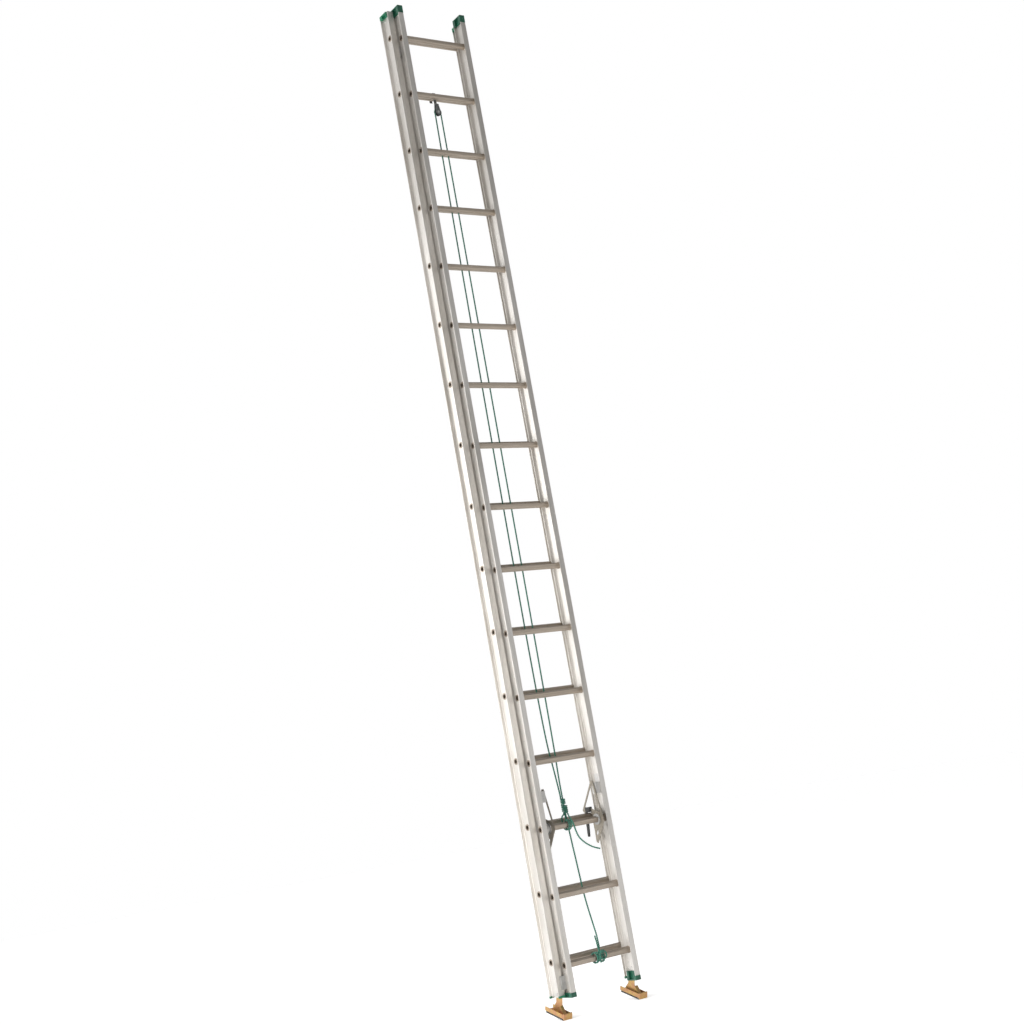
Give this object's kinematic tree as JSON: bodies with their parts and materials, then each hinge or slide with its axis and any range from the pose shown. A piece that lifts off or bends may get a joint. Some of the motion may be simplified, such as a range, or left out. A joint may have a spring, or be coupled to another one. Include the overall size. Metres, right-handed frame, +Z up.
{
  "type": "extension ladder",
  "caption": "Two-section aluminium extension ladder, closed, with a sliding fly, swinging rung locks, hoisting rope and pulley, and swivel shoes.",
  "frame": {"origin": "on the floor, in the middle of the footprint", "axes": "+Z up the rails, +X across the rungs to the climber's right, -Y towards the climber and the fly section, +Y towards the wall"},
  "size_m": [0.481, 0.1873, 4.9656],
  "materials": {
    "rail": "extruded mill finish",
    "rung": "dull extruded, grooved tread",
    "cap_green": "moulded",
    "cap_dark": "moulded",
    "guide": "moulded",
    "bracket": "zinc plated",
    "lock": "cast, satin",
    "tongue": "moulded",
    "shoe": "yellow zinc plated",
    "pad": "ribbed",
    "hardware": "zinc plated",
    "sheave": "moulded",
    "rope": "braided"
  },
  "bodies": {
    "base": {"base_left_rail": "rail", "base_right_rail": "rail", "base_rung_01": "rung", "base_rung_02": "rung", "base_rung_03": "rung", "base_rung_04": "rung", "base_rung_05": "rung", "base_rung_06": "rung", "base_rung_07": "rung", "base_rung_08": "rung", "base_rung_09": "rung", "base_rung_10": "rung", "base_rung_11": "rung", "base_rung_12": "rung", "base_rung_13": "rung", "base_rung_14": "rung", "base_rung_15": "rung", "base_rung_16": "rung", "base_top_caps": "cap_green", "base_foot_caps": "cap_green", "base_guides": "guide", "shoe_bolts": "hardware", "pulley_hanger": "bracket", "pulley_axle": "hardware", "haul_rope": "rope", "fall_rope": "rope", "rope_tail": "rope", "lashing": "rope"},
    "fly": {"fly_left_rail": "rail", "fly_right_rail": "rail", "fly_rung_01": "rung", "fly_rung_02": "rung", "fly_rung_03": "rung", "fly_rung_04": "rung", "fly_rung_05": "rung", "fly_rung_06": "rung", "fly_rung_07": "rung", "fly_rung_08": "rung", "fly_rung_09": "rung", "fly_rung_10": "rung", "fly_rung_11": "rung", "fly_rung_12": "rung", "fly_rung_13": "rung", "fly_rung_14": "rung", "fly_rung_15": "rung", "fly_rung_16": "rung", "fly_end_caps": "cap_dark", "fly_guides": "guide", "lock_bushes": "guide", "lock_keepers": "bracket", "haul_knot": "rope"},
    "left_lock": {"left_rung_lock": "lock"},
    "right_lock": {"right_rung_lock": "lock"},
    "left_tongue": {"left_lock_tongue": "tongue"},
    "right_tongue": {"right_lock_tongue": "tongue"},
    "left_foot": {"left_shoe": "shoe", "left_shoe_pad": "pad"},
    "right_foot": {"right_shoe": "shoe", "right_shoe_pad": "pad"},
    "sheave": {"pulley_sheave": "sheave"}
  },
  "joints": [
    {"name": "fly_slide", "type": "slide", "parent": "base", "child": "fly", "axis": [0, 0, 1], "range_m": [0, 3.9624], "deforming": ["haul_rope", "lashing", "rope_tail"]},
    {"name": "left_lock_swing", "type": "hinge", "parent": "fly", "child": "left_lock", "pos_m": [-0.142, -0.0417, 0.84061], "axis": [1, 0, 0], "range_deg": [0, 25], "stiffness_Nm_per_rad": 0.5, "springref_deg": -17.19},
    {"name": "left_tongue_swing", "type": "hinge", "parent": "left_lock", "child": "left_tongue", "pos_m": [-0.147, 0.0423, 0.88861], "axis": [1, 0, 0], "range_deg": [0, 60]},
    {"name": "left_shoe_pivot", "type": "hinge", "parent": "base", "child": "left_foot", "pos_m": [-0.2175, 0.0053, 0.11061], "axis": [1, 0, 0], "range_deg": [-26, 20]},
    {"name": "right_lock_swing", "type": "hinge", "parent": "fly", "child": "right_lock", "pos_m": [0.142, -0.0417, 0.84061], "axis": [1, 0, 0], "range_deg": [0, 25], "stiffness_Nm_per_rad": 0.5, "springref_deg": -17.19},
    {"name": "right_tongue_swing", "type": "hinge", "parent": "right_lock", "child": "right_tongue", "pos_m": [0.147, 0.0423, 0.88861], "axis": [1, 0, 0], "range_deg": [0, 60]},
    {"name": "right_shoe_pivot", "type": "hinge", "parent": "base", "child": "right_foot", "pos_m": [0.2175, 0.0053, 0.11061], "axis": [1, 0, 0], "range_deg": [-26, 20]},
    {"name": "sheave_spin", "type": "hinge", "parent": "base", "child": "sheave", "pos_m": [-0.027, -0.0147, 4.42861], "axis": [0, 1, 0], "continuous": true}
  ],
  "couplings": [
    {"joint": "sheave_spin", "follows": "fly_slide", "rad_per_m": -58.824}
  ]
}
